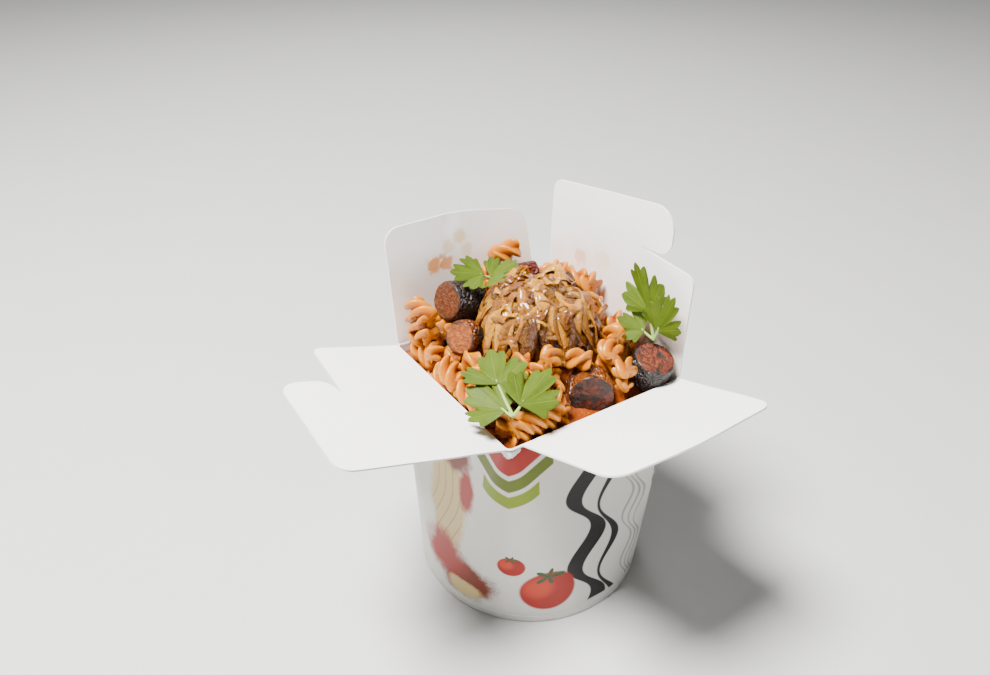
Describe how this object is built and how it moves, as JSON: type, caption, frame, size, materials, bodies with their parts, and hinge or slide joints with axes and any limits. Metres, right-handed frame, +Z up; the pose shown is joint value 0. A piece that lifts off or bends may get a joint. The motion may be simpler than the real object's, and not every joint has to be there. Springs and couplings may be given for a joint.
{
  "type": "noodle takeaway box",
  "caption": "Open paper noodle box, round at the foot and square at the rim, with folding lid flaps, filled with spiral pasta, fried onion, sausage chunks and coriander.",
  "frame": {"origin": "middle of the foot, on the plane that the box stands on", "axes": "+Z up; the opening's sides face -X, -Y, +X and +Y, and the two flaps that stand up are the ones at +X and +Y"},
  "size_m": [0.1591, 0.1459, 0.1715],
  "materials": {
    "white_board": "smooth white paperboard",
    "sauced_pasta": "gloss",
    "fried_onion": "gloss",
    "grilled_sausage": "satin",
    "coriander_leaf": "satin"
  },
  "bodies": {
    "tub": {"tub_wall": "white_board", "tub_base": "white_board", "pasta": "sauced_pasta", "onion": "fried_onion", "sausage_1": "grilled_sausage", "sausage_2": "grilled_sausage", "sausage_3": "grilled_sausage", "sausage_4": "grilled_sausage", "sausage_5": "grilled_sausage", "coriander_1": "coriander_leaf", "coriander_2": "coriander_leaf", "coriander_3": "coriander_leaf"},
    "left_lid": {"flap_left": "white_board"},
    "front_lid": {"flap_front": "white_board"},
    "right_lid": {"flap_right": "white_board"},
    "back_lid": {"flap_back": "white_board"}
  },
  "joints": [
    {"name": "hinge_left", "type": "hinge", "parent": "tub", "child": "left_lid", "pos_m": [-0.043, -0.043, 0.103], "axis": [0, 1, 0], "range_deg": [-81, 14]},
    {"name": "hinge_front", "type": "hinge", "parent": "tub", "child": "front_lid", "pos_m": [0.043, -0.043, 0.103], "axis": [-1, 0, 0], "range_deg": [-83, 30]},
    {"name": "hinge_right", "type": "hinge", "parent": "tub", "child": "right_lid", "pos_m": [0.038, 0.043, 0.103], "axis": [0.058, -0.9983, 0], "range_deg": [-144, 0]},
    {"name": "hinge_back", "type": "hinge", "parent": "tub", "child": "back_lid", "pos_m": [-0.043, 0.043, 0.103], "axis": [1, 0, 0], "range_deg": [-144, 0]}
  ]
}
